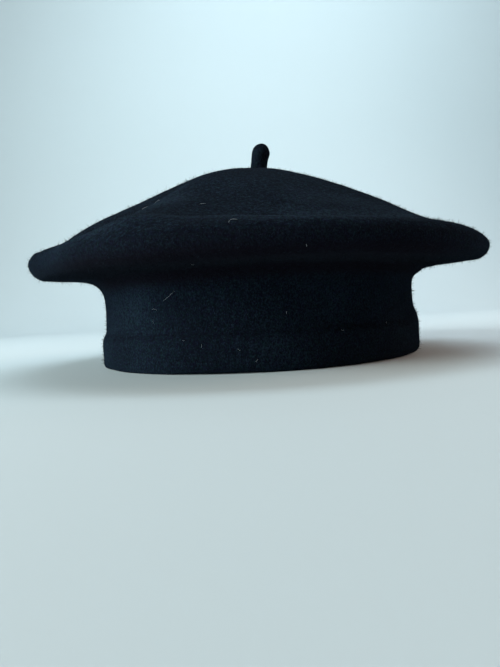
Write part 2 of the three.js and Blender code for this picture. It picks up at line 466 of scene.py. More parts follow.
@dataclass(frozen=True)
class FoldLine:
    """A soft ridge or dent in the felt, paler along its line by wear and painted highlight.

    Its line runs through points. Width is how far it reaches to each side and rise how far it
    stands out, all in millimetres. Its paleness from wear and painted highlight runs from 0 to 1.
    """

    width: float
    rise: float
    wear_and_highlight: float
    points: tuple[Point, ...]

    def strength(self, places: np.ndarray) -> np.ndarray:
        """How strongly the fold shows at each place.

        Args:
            places: a row for each place.

        Returns:
            From 1 on its line to 0 away from it.
        """
        line = np.array(self.points) * MM
        nearest = np.full(len(places), np.inf)
        for start, end in zip(line[:-1], line[1:]):
            run = end - start
            share = np.clip((places - start) @ run / (run @ run), 0, 1)
            distance = np.linalg.norm(places - start - share[:, None] * run, axis=1)
            nearest = np.minimum(nearest, distance)
        return bell(nearest, self.width * MM)


FOLDS = {
    # The crest and the lips are paler by wear and by painted highlight.
    "crest up the crown": FoldLine(4, 0.4, 0.45, (
        (-57, -108, 68.5), (-54, -98, 73.5), (-50.5, -83, 80), (-46, -70, 86),
        (-41.5, -61.7, 90.6), (-36, -54.6, 95.5))),
    "lip at the left": FoldLine(6, 0.3, 0.45, (
        (-86, -97, 63), (-70, -106, 65.8), (-57, -111, 67.8))),
    "lip at the front": FoldLine(4.5, 0.45, 0.45, (
        (-57, -111, 67.8), (-36, -112, 69), (-13.9, -121.2, 67.1), (2.1, -124, 65.6),
        (17.6, -126.7, 63.8), (33.4, -124.8, 63.2), (56.7, -109.9, 64.5))),
    # Painted highlights along the crown's foot and its slopes, lines with no ridge.
    "painted highlight at the foot of the crown": FoldLine(10, 0.0, 0.5, (
        (20, -92, 71), (45, -84, 71.5), (62, -72.5, 72.7), (81.4, -54.8, 74.3))),
    "painted highlight on the right slope": FoldLine(13, 0.0, 0.5, (
        (30, -72, 86), (43, -69, 81), (58, -66, 77.7), (74, -60, 74))),
    "painted highlight on the left slope": FoldLine(10, 0.0, 0.55, (
        (-66, -98, 69), (-59, -84, 76.6), (-51, -80, 80), (-39, -72.6, 86))),
    "top of the left tip": FoldLine(7, -1.0, 0.0, (
        (-108, -74, 63), (-98.8, -86.7, 63.3), (-90.5, -94.6, 64.1))),
    "left of the band": FoldLine(8, -0.6, 0.0, ((-84, -50, 33), (-91, -28, 33), (-92, 0, 33))),
    # Painted light on the underside of the left tip.
    "painted light on the underside of the left tip": FoldLine(9, 0.0, 1.0, (
        (-124, -36, 52), (-115, -30, 51), (-104, -38, 49.5), (-94, -48, 49))),
    "left underside": FoldLine(7, -0.9, 0.0, (
        (-108, -19, 50.6), (-104.6, -9.1, 49.8), (-98, -8, 49.5))),
    "underside of the right tip": FoldLine(9, -0.9, 0.0, (
        (105, -70, 49), (116, -48, 50), (124, -25, 51))),
    "crown beside the stalk": FoldLine(9, 0.45, 0.0, ((-16, 6, 113.5), (-7, 6, 115))),
    "flare of the hem": FoldLine(4.3, 2.2, 0.0, (
        (82, -45, 20.4), (90.5, -26, 20.4), (93, 5, 20.4))),
    "right of the band": FoldLine(6, -0.4, 0.0, ((86, -40, 36), (90, -24, 36), (92, 15, 36))),
    "turn under the right of the rim": FoldLine(4, 1.0, 0.0, (
        (93, -35, 46), (96, -10, 46.5), (96, 15, 46.5))),
}


@dataclass
class FeltBody:
    """The beret's one felted body: crown, rolled rim and head band with its turned-up hem."""

    node: str = "felt_body"
    name: str = "felt_shell"
    levels: int = 2
    fit_rounds: int = 4
    hem_line: float = 20 * MM            # where the turned-up felt ends, seen as a soft dip
    hem_loops: tuple[float, ...] = (19.4 * MM, 20.2 * MM, 20.8 * MM)
    hem_wander: Swell = Swell(0.35, 0.6 * MM, 5.0)    # sized in the band's radius
    dip_depth: float = 0.25 * MM
    dip_width: float = 2.2 * MM
    step_reach: float = 9 * MM           # how far from the hem's line the step is smoothed
    step_rounds: int = 14
    step_least: float = 0.05             # smoothing weaker than this is left out
    raw_edge_above: float = 1.2 * MM     # how far over the hem's line the raw edge inside is
    raw_edge_depth: float = 0.9 * MM
    raw_edge_width: float = 1.0 * MM
    band_top: float = 47 * MM
    crown_heart: float = 40 * MM         # height of the middle of the crown's hollow
    rim_heart: tuple[float, float] = (88 * MM, 61 * MM)    # distance out and height of the rim's
    tip_heart: tuple[float, float] = (100 * MM, 60 * MM)   # and of its outer underside's,
    tip_reach: float = 106 * MM                            # which starts this far out
    swells: tuple[Swell, ...] = (
        Swell(55 * MM, 0.4 * MM, 3.1),
        Swell(22 * MM, 0.3 * MM, 7.7),
        Swell(9 * MM, 0.16 * MM, 12.3),
    )
    edge_wave: Swell = Swell(0.22, 0.7 * MM, 9.0)     # how the resting edge lifts in places
    rest_reach: float = 6 * MM           # height up to which what it rests on holds the felt
    folds: tuple[FoldLine, ...] = tuple(FOLDS.values())
    plain_strip: tuple[float, float] = (4 * MM, 12 * MM)   # heights of the face over the fold
    packed_round: float = 1.6 * MM       # rounding of the folded edge as packed
    fold_round: float = 2.7 * MM         # and as felt folds
    fold_swing: float = 0.6 * MM         # rounder on the right by this, and sharper on the left
    fold_rest: float = 3.6 * MM          # how far in the fold's resting strip ends
    # Painted shade: a dark tone laid inside the hat and under the rim, strongest where the felt
    # faces down.
    painted_shade_strength: float = 0.8
    painted_shade_facing: tuple[float, ...] = (-0.7, -0.15, 0.3, 0.6)   # from facing down to facing up
    painted_shade_share: tuple[float, ...] = (1.0, 0.42, 0.38, 0.0)
    painted_shade_foot: float = 39 * MM        # height where the painted shade under the rim starts
    painted_shade_fade: float = 6 * MM         # and over which it grows
    tip_end: float = 118 * MM            # how far to each side the tips lose the painted shade,
    tip_fade: float = 40 * MM            # over this width,
    tip_share: float = 0.3               # but for this share
    piece: bpy.types.Object | None = field(default=None, init=False)

    def build(self) -> bpy.types.Object:
        """Shapes the shell on a merged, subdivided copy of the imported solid.

        Returns:
            The finished shell.
        """
        self.piece = bpy.data.objects.new(self.name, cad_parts[self.node].data.copy())
        bpy.context.scene.collection.objects.link(self.piece)
        self.piece.data.name = self.name
        pick_only(self.piece)
        bpy.ops.object.mode_set(mode="EDIT")
        bpy.ops.mesh.select_all(action="SELECT")
        bpy.ops.mesh.customdata_custom_splitnormals_clear()
        bpy.ops.mesh.remove_doubles(threshold=0.001 * MM)
        bpy.ops.mesh.tris_convert_to_quads(face_threshold=math.pi, shape_threshold=math.pi)
        bpy.ops.object.mode_set(mode="OBJECT")
        for height in self.hem_loops:
            self.cut_inner_loop(height)
        self.fit_cage()
        apply_modifier(self.piece, "SUBSURF", levels=self.levels, render_levels=self.levels)
        self.smooth_step()
        self.round_fold()
        self.soften()
        self.mark_faces()
        bpy.ops.object.shade_smooth()
        return self.piece

    def cut_inner_loop(self, height: float) -> None:
        """Cuts a level loop into the band's inner wall, which the raw edge there needs.

        Args:
            height: how high the loop lies.
        """
        mesh = self.piece.data
        centres = np.array([face.center for face in mesh.polygons])
        normals = np.array([face.normal for face in mesh.polygons])
        inner = ~self.outside(centres, normals) & (centres[:, 2] < self.band_top)
        bpy.ops.object.mode_set(mode="EDIT")
        bpy.ops.mesh.select_mode(type="FACE")
        bpy.ops.mesh.select_all(action="DESELECT")
        bpy.ops.object.mode_set(mode="OBJECT")
        mesh.polygons.foreach_set("select", inner)
        bpy.ops.object.mode_set(mode="EDIT")
        bpy.ops.mesh.bisect(plane_co=(0, 0, height), plane_no=(0, 0, 1))
        bpy.ops.object.mode_set(mode="OBJECT")

    def fit_cage(self) -> None:
        """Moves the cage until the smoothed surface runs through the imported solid's vertices."""
        mesh = self.piece.data
        wanted = vertex_places(mesh)
        smoothing = self.piece.modifiers.new("Fit", "SUBSURF")
        smoothing.levels = smoothing.render_levels = 1
        for _ in range(self.fit_rounds):
            smooth = self.piece.evaluated_get(bpy.context.evaluated_depsgraph_get())
            reached = vertex_places(smooth.data)[:len(wanted)]
            move_vertices(mesh, vertex_places(mesh) + wanted - reached)
        self.piece.modifiers.remove(smoothing)

    def outside(self, places: np.ndarray, normals: np.ndarray) -> np.ndarray:
        """Tells the outer skin from the inner one.

        A place is on the outer skin where it faces away from the heart of the hollow beside it:
        the hollow of the rim, the one under the crown, or the one inside the band.

        Args:
            places: a row for each place.
            normals: which way the felt faces there.

        Returns:
            True for each place on the outer skin.
        """
        spread, height = np.hypot(places[:, 0], places[:, 1]), places[:, 2]
        hollows = [
            (height < self.tip_heart[1]) & (spread > self.tip_reach),
            height < self.band_top,
            spread > self.rim_heart[0],
        ]
        share = np.select(hollows, [self.tip_heart[0] / spread, 0, self.rim_heart[0] / spread], 0.5)
        level = np.select(hollows, [self.tip_heart[1], height, self.rim_heart[1]], self.crown_heart)
        hearts = np.column_stack([places[:, :2] * share[:, None], level])
        return ((places - hearts) * normals).sum(axis=1) > 0

    def smooth_step(self) -> None:
        """Softens the step where the turned-up felt ends."""
        mesh = self.piece.data
        places = vertex_places(mesh)
        near = bell(places[:, 2] - self.hem_line, self.step_reach)
        near *= self.outside(places, vertex_normals(mesh)) & (places[:, 2] < self.band_top)
        group = self.piece.vertex_groups.new(name="hem_step")
        for index in np.flatnonzero(near > self.step_least):
            group.add([int(index)], float(near[index]), "REPLACE")
        apply_modifier(self.piece, "SMOOTH", factor=0.5, iterations=self.step_rounds,
                       vertex_group=group.name)

    def round_fold(self) -> None:
        """Rounds the outside of the folded edge, which felt never turns sharply."""
        mesh = self.piece.data
        places = vertex_places(mesh)
        heights, spread = places[:, 2], np.hypot(places[:, 0], places[:, 1])
        bearings = np.arctan2(places[:, 1], places[:, 0])
        wall = (heights > self.plain_strip[0]) & (heights < self.plain_strip[1])
        wall &= self.outside(places, vertex_normals(mesh))
        order = np.argsort(bearings[wall])
        face = np.interp(bearings, bearings[wall][order], spread[wall][order], period=2 * math.pi)
        depth = face - spread

        def arc(size: np.ndarray) -> np.ndarray:
            """How far in a rounding of this size takes the face at each height."""
            return size - np.sqrt(size ** 2 - (size - np.clip(heights, 0, size)) ** 2)

        size = self.fold_round + self.fold_swing * np.cos(bearings)
        tuck = arc(size) - arc(np.full(len(places), self.packed_round))
        tuck *= np.clip((self.fold_rest - depth) / (self.fold_rest - self.packed_round), 0, 1)
        tuck *= heights < size
        places[:, :2] *= (1 - tuck / spread)[:, None]
        move_vertices(mesh, places)

    def soften(self) -> None:
        """Gives the felt its unevenness and folds, the hem's dip and the raw edge inside."""
        mesh = self.piece.data
        places, normals = vertex_places(mesh), vertex_normals(mesh)
        outer = self.outside(places, normals)
        heights = places[:, 2]
        rise = sum(swell.at(places) for swell in self.swells)
        wear_and_highlight = np.zeros(len(places))
        for fold in self.folds:
            strength = fold.strength(places)
            rise = rise + fold.rise * MM * strength
            wear_and_highlight = np.maximum(wear_and_highlight, fold.wear_and_highlight * strength * outer)
        # Paler along the folds: wear on the ridges, and painted highlight.
        store(mesh, Mark.WORN, wear_and_highlight)
        free = np.clip(heights / self.rest_reach, 0, 1)
        move = normals * (rise * np.where(outer, 1, -1) * free)[:, None]

        low = heights < self.band_top
        out = unit(places * (1, 1, 0))
        above = heights - self.hem_line - self.hem_wander.at(out)
        dip = self.dip_depth * bell(above, self.dip_width) * (low & outer)
        raw = bell(above - self.raw_edge_above, self.raw_edge_width) * (low & ~outer)
        move += out * (self.raw_edge_depth * raw - dip)[:, None]
        wave = np.clip(self.edge_wave.at(out), 0, None)
        move[:, 2] += wave * bell(heights, self.rest_reach)
        places = places + move
        places[:, 2] = np.maximum(places[:, 2], 0)
        move_vertices(mesh, places)

    def mark_faces(self) -> None:
        """Marks for the finish how steep the felt stands and where shade is painted on it.

        The painted shade darkens the inside of the hat and the felt under the rim, less so at the
        two tips.
        """
        mesh = self.piece.data
        mark_steep(mesh)
        places, normals = vertex_places(mesh), vertex_normals(mesh)
        under = np.interp(normals[:, 2], self.painted_shade_facing, self.painted_shade_share)
        under *= np.clip((places[:, 2] - self.painted_shade_foot) / self.painted_shade_fade, 0, 1)
        under *= np.clip((self.tip_end - np.abs(places[:, 0])) / self.tip_fade, self.tip_share, 1)
        painted_shade = np.where(self.outside(places, normals), under, 1) * self.painted_shade_strength
        store(mesh, Mark.SHELTERED, painted_shade)

    def dress(self, finish: MilledFelt) -> None:
        """Gives the shell its finish and its place in the frame.

        Args:
            finish: the body's felt.
        """
        self.piece.data.materials.clear()
        self.piece.data.materials.append(finish.material())
        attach(self.piece, BODY)
        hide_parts(self.node)


@dataclass(frozen=True)
class StalkRing:
    """One ring of the stalk: its height and girth as shares, and its shift to the right."""

    up: float
    girth: float
    shift: float = 0.0


@dataclass(frozen=True)
class StalkSpot:
    """A swelling or dimple of the stalk, in millimetres, placed from the middle of its foot."""

    place: Point
    rise: float
    width: float


@dataclass
class Stalk:
    """The short felt stalk on the crown: a leaning stub with a rubbed, slightly flattened tip."""

    node: str = "stalk"
    name: str = "felt_stalk"
    width: float = 10.8 * MM
    height: float = 17.4 * MM
    lean: float = 3.0 * MM
    packed_lean: float = 2.6 * MM
    packed_gap: float = 0.3 * MM
    gap: float = 0.1 * MM
    sides: int = 16
    levels: int = 3
    tip_inset: float = 0.12         # of the width
    tip_rise: float = 0.02          # of the height
    foot_share: float = 0.1         # of the height is fitted to the crown
    calm_share: float = 1 / 6       # of the height has its lumps fade in
    rings: tuple[StalkRing, ...] = (
        StalkRing(0.05, 1.06),
        StalkRing(0.16, 0.99),
        StalkRing(0.34, 0.98),
        StalkRing(0.52, 1.03, 0.02),
        StalkRing(0.66, 1.05, 0.02),
        StalkRing(0.79, 0.99),
        StalkRing(0.9, 0.8, -0.02),
        StalkRing(0.97, 0.5, -0.03),
    )
    swells: tuple[Swell, ...] = (Swell(7 * MM, 0.35 * MM, 1.7), Swell(2.6 * MM, 0.14 * MM, 4.2))
    spots: tuple[StalkSpot, ...] = (
        StalkSpot((-0.4, -5.4, 12.528), -0.4, 1.8),
        StalkSpot((7.74, 0, 10.44), 0.35, 2.2),
    )
    piece: bpy.types.Object | None = field(default=None, init=False)

    def build(self, crown: BVHTree) -> bpy.types.Object:
        """Extrudes the stalk ring by ring and seats its foot on the crown.

        Args:
            crown: search tree of the finished shell.

        Returns:
            The finished stalk.
        """
        low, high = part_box(self.node)
        across = (low.x + high.x) / 2 - self.packed_lean / 2
        foot = Vector((across, (low.y + high.y) / 2, low.z + self.packed_gap))
        before = StalkRing(0.0, 1.1)
        bpy.ops.object.select_all(action="DESELECT")
        bpy.ops.mesh.primitive_circle_add(
            vertices=self.sides, radius=self.width / 2 * before.girth, fill_type="NGON",
            location=foot)
        self.piece = bpy.context.object
        self.piece.name = self.piece.data.name = self.name
        bpy.ops.object.mode_set(mode="EDIT")
        bpy.ops.mesh.select_all(action="SELECT")
        for ring in self.rings:
            step = self.rise_to(ring) - self.rise_to(before)
            bpy.ops.mesh.extrude_region_move(TRANSFORM_OT_translate={"value": step})
            scale = ring.girth / before.girth
            bpy.ops.transform.resize(
                value=(scale, scale, 1), center_override=foot + self.rise_to(ring))
            before = ring
        bpy.ops.mesh.inset(thickness=self.width * self.tip_inset)
        bpy.ops.transform.translate(value=(0, 0, self.height * self.tip_rise))
        bpy.ops.mesh.select_all(action="SELECT")
        bpy.ops.mesh.normals_make_consistent(inside=False)
        bpy.ops.object.mode_set(mode="OBJECT")
        bpy.ops.object.transform_apply(location=True, rotation=True, scale=True)
        settle_order(self.piece.data)
        apply_modifier(self.piece, "SUBSURF", levels=self.levels, render_levels=self.levels)
        self.soften(foot, crown)
        bpy.ops.object.shade_smooth()
        return self.piece

    def rise_to(self, ring: StalkRing) -> Vector:
        """The way from the foot to a ring's middle."""
        return Vector((self.lean * ring.up + self.width * ring.shift, 0, self.height * ring.up))

    def soften(self, foot: Vector, crown: BVHTree) -> None:
        """Gives the stalk its small lumps and spots and fits its foot to the crown.

        Args:
            foot: the middle of the stalk's foot.
            crown: search tree of the finished shell.
        """
        mesh = self.piece.data
        places, normals = vertex_places(mesh), vertex_normals(mesh)
        up = np.clip((places[:, 2] - foot.z) / self.height, 0, 1)
        rise = sum(swell.at(places) for swell in self.swells)
        for spot in self.spots:
            middle = foot + Vector([v * MM for v in spot.place])
            distance = np.linalg.norm(places - middle, axis=1)
            rise += spot.rise * MM * bell(distance, spot.width * MM)
        places = places + normals * (rise * np.clip(up / self.calm_share, 0, 1))[:, None]
        for index in np.flatnonzero(up < self.foot_share):
            place = Vector(places[index])
            hit = crown.ray_cast(Vector((place.x, place.y, ABOVE)), Vector((0, 0, -1)))[0]
            places[index, 2] = hit.z + self.gap + (place.z - foot.z)
        move_vertices(mesh, places)
        mark_steep(mesh)

    def dress(self, finish: MilledFelt) -> None:
        """Gives the stalk its finish and its place in the frame.

        Args:
            finish: the stalk's felt.
        """
        self.piece.data.materials.clear()
        self.piece.data.materials.append(finish.material())
        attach(self.piece, BODY)
        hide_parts(self.node)


@dataclass
class FeltSkin:
    """The triangles of a felt piece, read once for laying fibres on it."""

    corners: np.ndarray
    normals: np.ndarray
    areas: np.ndarray
    middles: np.ndarray

    @classmethod
    def of(cls, piece: bpy.types.Object) -> "FeltSkin":
        """Reads the skin of a piece.

        Args:
            piece: the felt piece.

        Returns:
            Its skin.
        """
        mesh = piece.data
        mesh.calc_loop_triangles()
        indices = np.empty(len(mesh.loop_triangles) * 3, dtype=np.int32)
        mesh.loop_triangles.foreach_get("vertices", indices)
        corners = vertex_places(mesh)[indices.reshape(-1, 3)]
        cross = np.cross(corners[:, 1] - corners[:, 0], corners[:, 2] - corners[:, 0])
        return cls(corners, unit(cross), np.linalg.norm(cross, axis=1) / 2, corners.mean(axis=1))

    def sample(self, cover: np.ndarray, count: int, seed: int) -> tuple[np.ndarray, np.ndarray]:
        """Picks random places, evenly spread where the cover is the same.

        Args:
            cover: for each triangle, how densely it is covered, 0 for not at all.
            count: how many places.
            seed: of the random numbers.

        Returns:
            The places, and which way the skin faces there.
        """
        rng = np.random.default_rng(seed)
        weight = self.areas * cover
        chosen = rng.choice(len(weight), size=count, p=weight / weight.sum())
        first, second = np.sqrt(rng.random(count)), rng.random(count)
        shares = np.column_stack([1 - first, first * (1 - second), first * second])
        places = (self.corners[chosen] * shares[:, :, None]).sum(axis=1)
        return places, self.normals[chosen]


@dataclass
class FibreShape:
    """One fibre as modelled: points with a height from 0 to 1, and its faces."""

    points: np.ndarray
    loops: np.ndarray
    sizes: np.ndarray

    @classmethod
    def model(cls, joint: float = 0.55, fullness: float = 1.7) -> "FibreShape":
        """Models a slim three-sided tapering fibre with one joint for its bend.

        Args:
            joint: how far up the joint is.
            fullness: how much thicker the joint is than a plain cone there.

        Returns:
            The fibre.
        """
        bpy.ops.object.select_all(action="DESELECT")
        bpy.ops.mesh.primitive_cone_add(
            vertices=3, radius1=1, radius2=0, depth=1, end_fill_type="NGON", location=(0, 0, 0.5))
        fibre = bpy.context.object
        bpy.ops.object.mode_set(mode="EDIT")
        bpy.ops.mesh.select_all(action="SELECT")
        bpy.ops.mesh.bisect(plane_co=(0, 0, joint), plane_no=(0, 0, 1))
        bpy.ops.transform.resize(value=(fullness, fullness, 1), center_override=(0, 0, joint))
        bpy.ops.object.mode_set(mode="OBJECT")
        bpy.ops.object.transform_apply(location=True, rotation=True, scale=True)
        mesh = fibre.data
        points = vertex_places(mesh)
        loops = np.array([index for face in mesh.polygons for index in face.vertices])
        sizes = np.array([len(face.vertices) for face in mesh.polygons])
        bpy.data.objects.remove(fibre)
        bpy.data.meshes.remove(mesh)
        return cls(points, loops, sizes)


@dataclass(frozen=True)
class Nap:
    """One stand of fibres: where and how many, how long and thick, and how they lie."""

    name: str
    region: Region
    count: int
    length: tuple[float, float]
    lift: tuple[float, float]       # angle off the felt, in degrees
    spread: float                   # how far the fibres turn from the combing, in radians
    seed: int
    width: float = 0.07 * MM
    stray: float = 0.04             # share of fibres that stand up, longer than the rest
    stray_lift: float = 0.5         # radians
    stray_length: float = 1.8
    comb_out: float = 0.35          # how far the combing leans outwards from straight down
    bend: float = 0.45              # sideways, as a share of the length
    droop: tuple[float, float] = (-0.1, 0.35)
    girth: tuple[float, float] = (0.7, 1.3)    # shares of the width, from fibre to fibre
    twist: float = 0.3              # turn of the fibre's sides
    root: float = 0.05 * MM         # how deep the fibres root, and stay off the rest

    def lay(self, places: np.ndarray, normals: np.ndarray, shape: FibreShape) -> bpy.types.Object:
        """Lays a fibre at each place, combed down the felt's slope with some spread.

        Args:
            places: the fibres' roots.
            normals: which way the felt faces there.
            shape: the fibre as modelled.

        Returns:
            The stand as one mesh piece.
        """
        rng = np.random.default_rng(self.seed)
        count = len(places)
        down = np.array([0.0, 0.0, -1.0]) + self.comb_out * unit(places * (1, 1, 0))
        comb = unit(down - normals * (down * normals).sum(axis=1, keepdims=True))
        side = np.cross(normals, comb)
        turn = rng.normal(0, self.spread, count)[:, None]
        heading = comb * np.cos(turn) + side * np.sin(turn)
        lift = np.radians(rng.uniform(*self.lift, count))[:, None]
        stray = rng.random(count) < self.stray
        lift = np.where(stray[:, None], lift + self.stray_lift, lift)
        axis = heading * np.cos(lift) + normals * np.sin(lift)
        low, high = self.length
        length = low + (high - low) * rng.random(count) ** 2
        length = np.where(stray, length * self.stray_length, length)[:, None]
        bend = side * rng.normal(0, self.bend, (count, 1))
        bend = (bend - normals * rng.uniform(*self.droop, (count, 1))) * length
        across = unit(np.cross(axis, heading + self.twist * side))
        upward = np.cross(axis, across)
        right, up, along = (shape.points[:, i][None, :, None] for i in range(3))
        radius = self.width / 2 * rng.uniform(*self.girth, (count, 1, 1))
        points = (
            (places - normals * self.root)[:, None, :]
            + axis[:, None, :] * length[:, None, :] * along
            + bend[:, None, :] * along ** 2
            + radius * (across[:, None, :] * right + upward[:, None, :] * up))
        points[:, :, 2] = np.maximum(points[:, :, 2], self.root)
        return self.joined(points, shape, rng.random(count))

    def joined(self, points: np.ndarray, shape: FibreShape, shade: np.ndarray) -> bpy.types.Object:
        """Joins all copies of the fibre into one mesh, with a shade for each and a map to bake on.

        Args:
            points: for each fibre, its points.
            shape: the fibre as modelled.
            shade: for each fibre, how light it is.

        Returns:
            The joined piece.
        """
        count, each = points.shape[:2]
        mesh = bpy.data.meshes.new(self.name)
        loops = (shape.loops[None, :] + each * np.arange(count)[:, None]).ravel()
        sizes = np.tile(shape.sizes, count)
        mesh.vertices.add(count * each)
        mesh.loops.add(len(loops))
        mesh.polygons.add(len(sizes))
        mesh.vertices.foreach_set("co", points.ravel())
        mesh.loops.foreach_set("vertex_index", loops)
        mesh.polygons.foreach_set("loop_start", np.concatenate([[0], np.cumsum(sizes)[:-1]]))
        mesh.update(calc_edges=True)
        store(mesh, Mark.SHADE, np.repeat(shade, each))
        self.map_cells(mesh, count, shape)
        mesh.validate()
        piece = bpy.data.objects.new(self.name, mesh)
        bpy.context.scene.collection.objects.link(piece)
        return piece

    def map_cells(self, mesh: bpy.types.Mesh, count: int, shape: FibreShape) -> None:
        """Gives each fibre its own cell of a square map, with its faces side by side in it.

        Args:
            mesh: the joined fibres.
            count: how many they are.
            shape: the fibre as modelled.
        """
        cells, inner = math.ceil(math.sqrt(count)), 3
        corner = np.column_stack([np.arange(count) % cells, np.arange(count) // cells])
        starts = np.cumsum(shape.sizes) - shape.sizes
        own = np.empty((len(shape.loops), 2))
        for face, (start, size) in enumerate(zip(starts, shape.sizes)):
            angle = 2 * np.pi * np.arange(size) / size + np.pi / 4
            middle = np.array([(face % inner + 0.5) / inner, (face // inner + 0.5) / inner])
            ring = np.column_stack([np.cos(angle), np.sin(angle)]) * 0.45 / inner
            own[start:start + size] = middle + ring
        places = (corner[:, None, :] + own[None, :, :]) / cells
        mesh.uv_layers.new(name=BAKE_MAP).data.foreach_set("uv", places.ravel())


@dataclass
class FeltNap:
    """All fibres that stand on the body and the stalk."""

    stands: tuple[Nap, ...] = (
        Nap("crown_nap", Region.CROWN, 17000, (0.4 * MM, 1.5 * MM), (8, 38), 1.6, 11),
        Nap("rim_nap", Region.RIM, 15000, (0.4 * MM, 1.6 * MM), (6, 34), 1.1, 12),
        Nap("band_nap", Region.BAND, 12000, (0.4 * MM, 1.4 * MM), (6, 34), 1.4, 13),
        Nap("inner_nap", Region.INSIDE, 5000, (0.4 * MM, 1.5 * MM), (8, 40), 1.6, 14),
        Nap("loose_hairs", Region.OUTSIDE, 13000, (0.8 * MM, 2.8 * MM), (30, 85), 1.8, 16,
            width=0.15 * MM, stray=0.0),
        Nap("stalk_nap", Region.STALK, 900, (0.4 * MM, 1.1 * MM), (10, 45), 1.2, 15),
    )
    seed_shift: int = 100           # from a stand's own seed to that of its roots
    pieces: list[bpy.types.Object] = field(default_factory=list, init=False)

    def build(self, body: FeltBody, stalk: Stalk) -> list[bpy.types.Object]:
        """Lays every stand of fibres on the finished felt.

        Args:
            body: the shaped felt body.
            stalk: the shaped stalk.

        Returns:
            One piece for each stand.
        """
        shape = FibreShape.model()
        felt, stub = FeltSkin.of(body.piece), FeltSkin.of(stalk.piece)
        outer = body.outside(felt.middles, felt.normals)
        height, facing = felt.middles[:, 2], felt.normals[:, 2]
        high = height > body.band_top
        top = outer & high & (facing > 0.5)
        cover = {
            Region.CROWN: top,
            Region.RIM: (outer & high & ~top) * np.clip(0.9 + facing, 0.25, 1),   # sparser below
            Region.BAND: outer & ~high & (height > 0.4 * MM),
            Region.INSIDE: ~outer & (height > 1.5 * MM) & (height < 60 * MM),
            Region.OUTSIDE: outer & (height > 1.0 * MM),
            Region.STALK: stub.normals[:, 2] > -0.5,                              # not its foot
        }
        for nap in self.stands:
            skin = stub if nap.region is Region.STALK else felt
            roots = skin.sample(cover[nap.region], nap.count, nap.seed + self.seed_shift)
            self.pieces.append(nap.lay(*roots, shape))
        return self.pieces

    def dress(self, finish: WoolFibre) -> None:
        """Gives all fibres their finish and their place in the frame.

        Args:
            finish: the nap's wool.
        """
        material = finish.material()
        for nap, piece in zip(self.stands, self.pieces):
            piece.data.materials.append(material)
            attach(piece, BODY)


@dataclass(frozen=True)
class LintHair:
    """A pale hair caught on the felt.

    Start, length and width are in millimetres. Heading is in degrees from level to the right,
    anticlockwise, and curl is the turn from end to end in degrees.
    """

    start: Point
    length: float
    heading: float
    curl: float
    width: float = 0.075


@dataclass
class Lint:
    """The pale lint hairs that lie on the felt, all one piece."""

    name: str = "lint_hairs"
    steps: int = 10
    float_height: float = 0.12 * MM
    arch: float = 0.25 * MM         # how much higher the middle of a hair floats
    taper: float = 0.6              # how much thinner its ends are
    shade_seed: int = 41
    hairs: tuple[LintHair, ...] = (
        LintHair((-10.1, -131.6, 63.4), 5.0, 100, -140, 0.09),
        LintHair((-25.6, -83.5, 80.1), 3.6, -65, 130, 0.08),
        LintHair((-46.0, -84.1, 35.3), 8.5, 22, 20),
        LintHair((-51.9, -79.9, 31.6), 3.4, 20, -70),
        LintHair((-51.6, -79.9, 26.9), 2.6, -85, 20),
        LintHair((-27.8, -113.6, 49.3), 1.3, 10, 40),
        LintHair((11.7, -95.0, 26.0), 1.4, 60, 50),
        LintHair((37.1, -89.6, 17.1), 1.6, -40, 60),
        LintHair((-56.8, -110.5, 68.2), 1.2, 30, 30),
        LintHair((19.0, -130.3, 52.1), 1.3, 80, 30),
        LintHair((62.0, -72.9, 18.0), 1.5, 70, -40),
        LintHair((-27.5, -94.2, 12.6), 1.8, 75, 25),
        LintHair((-10.9, -97.8, 11.5), 1.6, -50, 40),
        LintHair((-36.4, -90.4, 15.8), 1.3, 0, 50),
        LintHair((-3.1, -98.4, 5.2), 1.6, 65, -30),
        LintHair((-52.0, -88.0, 77.5), 7.0, 116, -6),
        LintHair((-48.5, -76.0, 83.0), 8.0, 114, 8),
    )
    piece: bpy.types.Object | None = field(default=None, init=False)

    def build(self, felt: BVHTree) -> bpy.types.Object:
        """Draws each hair along the felt as a thin round thread.

        Args:
            felt: search tree of the finished shell.

        Returns:
            All hairs as one mesh piece.
        """
        curve = bpy.data.curves.new(self.name, "CURVE")
        curve.dimensions = "3D"
        curve.bevel_depth = 0.5     # so a point's radius is the hair's width there
        curve.bevel_resolution = 1
        curve.use_fill_caps = True
        for hair in self.hairs:
            path = self.path(hair, felt)
            spline = curve.splines.new("POLY")
            spline.points.add(len(path) - 1)
            for point, place, share in zip(spline.points, path, np.linspace(0, 1, len(path))):
                point.co = (*place, 1)
                point.radius = hair.width * MM * (1 - self.taper * abs(2 * share - 1) ** 2)
        drawn = bpy.data.objects.new(self.name + "_drawn", curve)
        bpy.context.scene.collection.objects.link(drawn)
        pick_only(drawn)
        bpy.ops.object.convert(target="MESH")
        self.piece = bpy.context.object
        mesh = self.piece.data
        self.piece.name = mesh.name = self.name
        shade = np.random.default_rng(self.shade_seed).random(len(mesh.vertices))
        store(mesh, Mark.SHADE, shade * 0.5 + 0.5)
        return self.piece

    def path(self, hair: LintHair, felt: BVHTree) -> list[Vector]:
        """Finds the way of a hair that lies on the felt.

        Args:
            hair: the hair.
            felt: search tree of the finished shell.

        Returns:
            Its points, from start to end.
        """
        place, normal = felt.find_nearest(Vector([v * MM for v in hair.start]))[:2]
        heading = math.radians(hair.heading)
        path = []
        for step in range(self.steps + 1):
            arch = self.arch * math.sin(math.pi * step / self.steps)
            path.append(place + normal * (self.float_height + arch))
            level = Vector((0, 0, 1)).cross(normal).normalized()
            way = level * math.cos(heading) + normal.cross(level) * math.sin(heading)
            place, normal = felt.find_nearest(place + way * (hair.length * MM) / self.steps)[:2]
            heading += math.radians(hair.curl) / self.steps
        return path

    def dress(self, finish: WoolFibre) -> None:
        """Gives the hairs their finish and their place in the frame.

        Args:
            finish: the hairs' wool.
        """
        self.piece.data.materials.append(finish.material())
        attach(self.piece, BODY)


